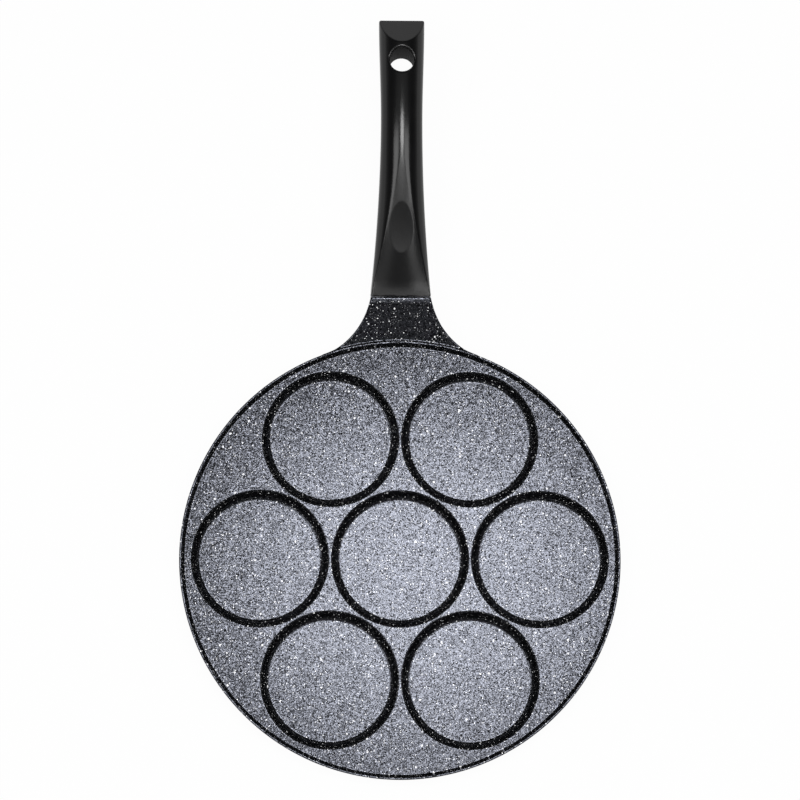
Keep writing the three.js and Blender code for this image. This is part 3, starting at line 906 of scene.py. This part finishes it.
class Shader(Nodes):
    """A node material with one Principled shader."""

    def __init__(self, name):
        self.material = bpy.data.materials.new(name)
        self.material.use_nodes = True
        super().__init__(self.material.node_tree)
        self.surface = self.tree.nodes["Principled BSDF"]
        self.place = self.add("TexCoord").outputs["Object"]

    def paint(self, **inputs):
        """Links or sets inputs of the Principled shader."""
        for name, value in inputs.items():
            self.join(value, self.surface.inputs[name.replace("_", " ")])

    def texture(self, kind, size, **inputs):
        """A texture whose forms are about as big as a size in millimetres."""
        return self.add(kind, Vector=self.place, Scale=1 / (size * MM), **inputs).outputs

    def noise(self, size, detail=NOISE_DETAIL):
        return self.texture("TexNoise", size, Detail=detail)[0]

    def cells(self, size):
        """Random cells: distance from the middle, and three random numbers."""
        outputs = self.texture("TexVoronoi", size)
        parts = self.add("SeparateColor", Color=outputs["Color"])
        return outputs["Distance"], parts.outputs

    def flakes(self, size, lean):
        """Normals that lean at random, one way for each cell of a size in millimetres."""
        random = self.texture("TexVoronoi", size)["Color"]
        spread = self.vector("MULTIPLY_ADD", random, (2 * lean,) * 3, (-lean,) * 3)
        normal = self.add("NewGeometry").outputs["Normal"]
        return self.vector("NORMALIZE", self.vector("ADD", normal, spread))

    def bump(self, height, depth, below=None):
        """A bump of a depth in millimetres."""
        inputs = {"Normal": below} if below else {}
        return self.add("Bump", Height=height, Strength=1.0, Distance=depth * MM, **inputs).outputs[0]


def speck_mask(shader, cell, share, radius):
    """One on round specks and nothing between: some cells hold one, each with a radius of its own."""
    distance, random = shader.cells(cell)
    edge = shader.span(random[1], SPECK_SMALLEST * radius / cell, radius / cell)
    held = shader.number("LESS_THAN", random[0], share)
    soft = shader.number("MULTIPLY", shader.number("SUBTRACT", edge, distance), SPECK_EDGE * cell)
    clipped = shader.number("MINIMUM", shader.number("MAXIMUM", soft, 0.0), 1.0)
    return shader.number("MULTIPLY", clipped, held)


def stone_coating():
    """Glossy and dull grains under white specks. A dull grain is a black metal, which hardly mirrors."""
    shader = Shader("stone coating")
    _, grain = shader.cells(GRAIN)
    colour = shader.ramp(grain[0], GRAIN_TONES)
    dull = shader.ramp(grain[0], GRAIN_DULLNESS)
    roughness = shader.span(grain[1], *GRAIN_ROUGHNESS)
    for speck in SPECKS:
        mask = speck_mask(shader, speck["cell"], speck["share"], speck["radius"])
        colour = shader.mix(mask, colour, speck["colour"])
        dull = shader.number("MULTIPLY", dull, shader.number("SUBTRACT", 1.0, mask))
        roughness = shader.number("MAXIMUM", roughness, shader.number("MULTIPLY", mask, SPECK_ROUGHNESS))
    lumps = shader.bump(shader.noise(LUMP, LUMP_DETAIL), LUMP_HEIGHT, shader.flakes(FLAKE, FLAKE_LEAN))
    shader.paint(Base_Color=colour, Metallic=dull, Roughness=roughness, Normal=lumps)
    shader.paint(IOR=COATING_IOR, Specular_Tint=(*COATING_TINT, 1))
    return shader.material


def phenolic():
    """Satin black, with the bore of the hang hole left rough."""
    shader = Shader("phenolic")
    colour = shader.ramp(shader.noise(PHENOLIC_CLOUD, PHENOLIC_CLOUD_DETAIL), PHENOLIC_TONES)
    grain = shader.noise(PHENOLIC_GRAIN)
    satin = shader.span(grain, *PHENOLIC_ROUGHNESS)
    left_rough = shader.add("Attribute", {"attribute_name": ROUGH_ATTRIBUTE}).outputs["Fac"]
    roughness = shader.number("MAXIMUM", satin, left_rough)
    normal = shader.bump(grain, PHENOLIC_GRAIN_HEIGHT)
    shader.paint(Base_Color=colour, Roughness=roughness, Normal=normal, IOR=PHENOLIC_IOR)
    return shader.material


def zinc_steel():
    """Plated steel with soft clouds and a fine grain."""
    shader = Shader("zinc steel")
    tone = shader.noise(STEEL_CLOUD, STEEL_CLOUD_DETAIL)
    colour = shader.ramp(tone, STEEL_TONES)
    roughness = shader.span(tone, *STEEL_ROUGHNESS)
    normal = shader.bump(shader.noise(STEEL_GRAIN), STEEL_GRAIN_HEIGHT)
    shader.paint(Base_Color=colour, Roughness=roughness, Normal=normal, Metallic=1.0)
    return shader.material


# Stage, light and camera

def studio_floor():
    """A white floor that the camera and reflections see as white, apart from soft shadow."""
    half = FLOOR_SIZE / 2
    corners = [(-half, -half, 0), (half, -half, 0), (half, half, 0), (-half, half, 0)]
    floor = new_object("floor", corners, [(0, 1, 2, 3)])
    shader = Shader("floor")
    shader.paint(Base_Color=(FLOOR_WHITE,) * 3 + (1,), Roughness=1.0, Specular_IOR_Level=0.0)
    rays = shader.add("LightPath").outputs
    mirrored = shader.number("MAXIMUM", rays["Is Glossy Ray"], rays["Is Transmission Ray"])
    mirrored_share = shader.number("MULTIPLY", mirrored, FLOOR_GLOSS_SHARE)
    seen_share = shader.number("MULTIPLY", rays["Is Camera Ray"], FLOOR_GLOW_SHARE)
    glow = shader.add("Emission", Strength=1.0)
    mixed = shader.add("MixShader", Fac=shader.number("ADD", seen_share, mirrored_share))
    shader.join(shader.surface.outputs[0], mixed.inputs[1])
    shader.join(glow.outputs[0], mixed.inputs[2])
    shader.join(mixed.outputs[0], shader.tree.nodes["Material Output"].inputs["Surface"])
    floor.data.materials.append(shader.material)


def softbox(name, place, size, power, shape="RECTANGLE"):
    """A flat lamp that shines straight down."""
    lamp = bpy.data.lights.new(name, "AREA")
    lamp.shape = shape
    lamp.size, lamp.size_y = (length * MM for length in size)
    lamp.energy = power
    light = bpy.data.objects.new(name, lamp)
    light.location = Vector(place) * MM
    bpy.context.scene.collection.objects.link(light)


def studio_light():
    for box in SOFTBOXES:
        softbox(**box)
    world = bpy.data.worlds.new("studio")
    world.use_nodes = True
    bpy.context.scene.world = world
    sky = Nodes(world.node_tree)
    direction = sky.add("TexCoord").outputs["Generated"]
    height = sky.add("SeparateXYZ", Vector=direction).outputs["Z"]
    sky.join(sky.ramp(height, WORLD_TONES), world.node_tree.nodes["Background"].inputs["Color"])


def photo_camera():
    camera = bpy.data.cameras.new("camera")
    camera.sensor_width = CAMERA_SENSOR
    camera.lens = CAMERA_LENS
    camera.clip_end = CAMERA_REACH * MM
    holder = bpy.data.objects.new("camera", camera)
    holder.location = Vector(CAMERA_PLACE) * MM
    holder.rotation_euler = [math.radians(turn) for turn in CAMERA_TURN]
    bpy.context.scene.collection.objects.link(holder)
    bpy.context.scene.camera = holder


# The pan

def merge_points(mesh):
    """Joins points that lie on each other, which takes out faces without area."""
    work = bmesh.new()
    work.from_mesh(mesh)
    bmesh.ops.remove_doubles(work, verts=work.verts, dist=MERGE_DISTANCE * MM)
    work.to_mesh(mesh)
    work.free()


def dress(piece, material, node):
    """Joins a piece's doubled points, gives it its material, hangs it on the root body and hides the imported
    node it stands in for.
    """
    merge_points(piece.data)
    piece.data.materials.clear()
    piece.data.materials.append(material)
    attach(piece, "root")
    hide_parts(node)


bpy.context.scene.view_settings.view_transform = "Standard"
photo_camera()
studio_light()
studio_floor()

body = joined(tray(), neck())
body.name = "cast_pan"
dress(body, stone_coating(), "pan_body")
dress(handle(), phenolic(), "handle")
steel = zinc_steel()
dress(screw(), steel, "handle_screw")
dress(flat_washer(), steel, "flat_washer")
dress(spring_washer(), steel, "spring_washer")
